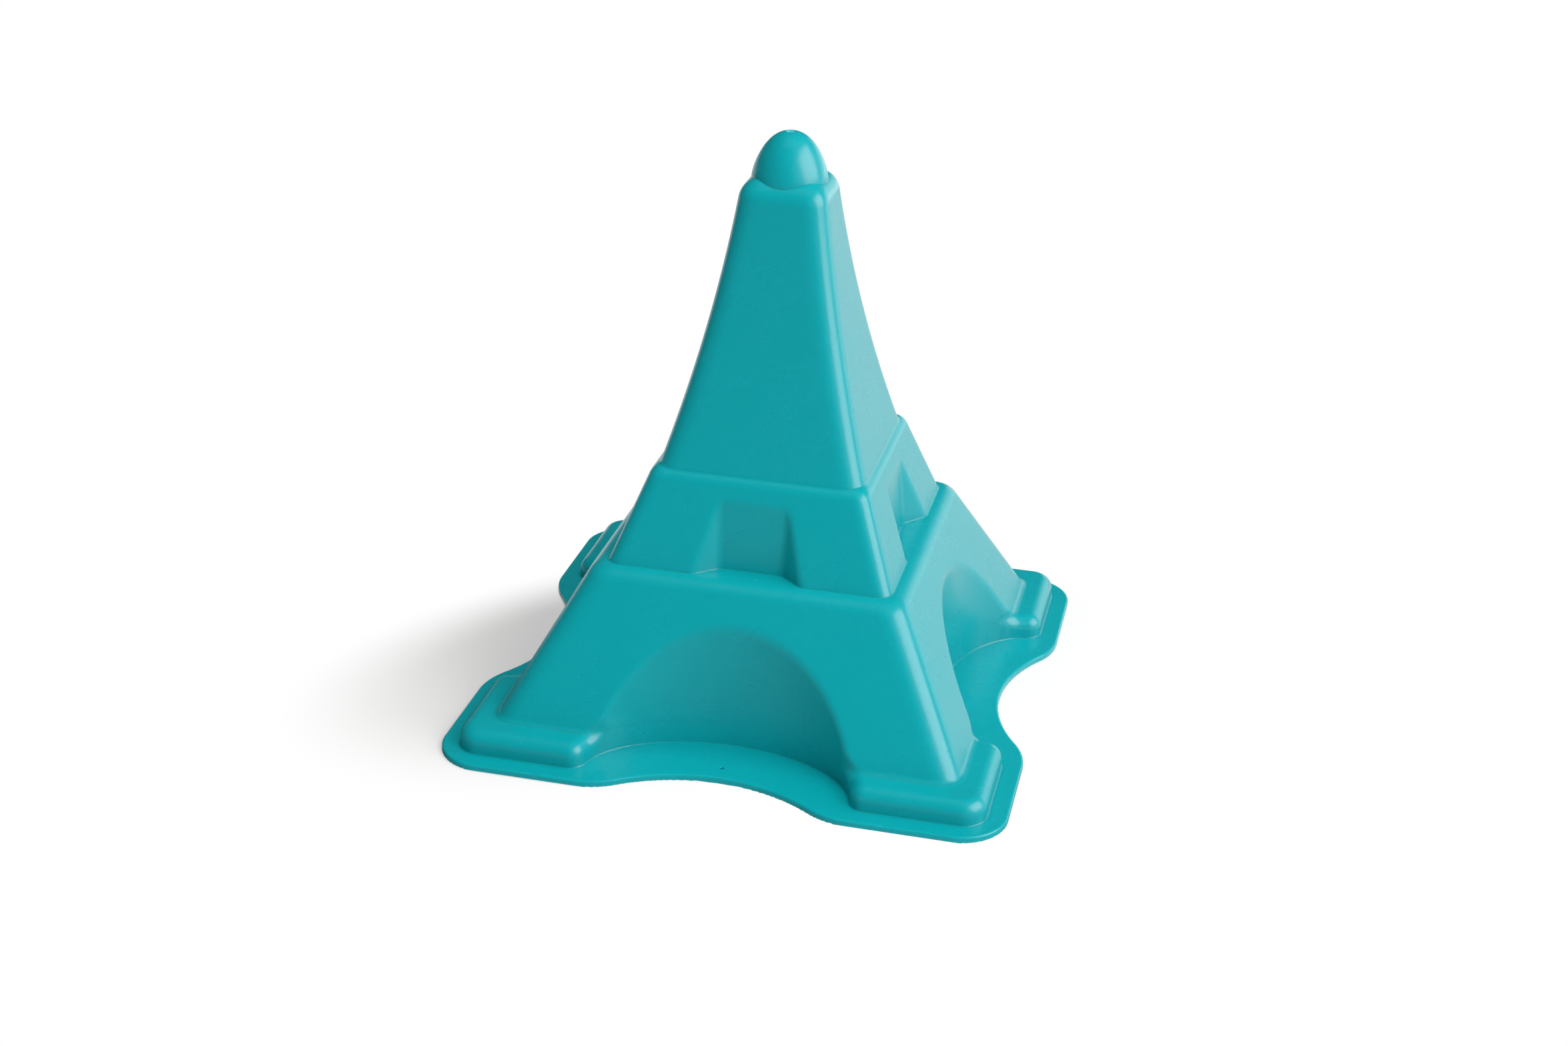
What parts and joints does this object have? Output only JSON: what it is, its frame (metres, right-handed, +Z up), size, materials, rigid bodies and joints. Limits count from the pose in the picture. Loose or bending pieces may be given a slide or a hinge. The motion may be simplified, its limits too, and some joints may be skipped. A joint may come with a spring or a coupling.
{
  "type": "sand mould",
  "caption": "Hollow plastic sand mould shaped as a stepped tower with arched legs, window recesses, a curved spire and a domed tip on a scalloped rim.",
  "frame": {"origin": "middle of the open base, on the surface that it stands on", "axes": "+Z up the tower to its tip, -Y out of the front face, +X to the right"},
  "size_m": [0.19, 0.19, 0.1965],
  "materials": {
    "moulding": "semi-gloss moulded polypropylene"
  },
  "bodies": {
    "root": {"rim": "moulding", "foot_front_left": "moulding", "foot_front_right": "moulding", "foot_back_left": "moulding", "foot_back_right": "moulding", "arch_storey": "moulding", "window_storey": "moulding", "spire": "moulding", "finial": "moulding"}
  },
  "joints": []
}
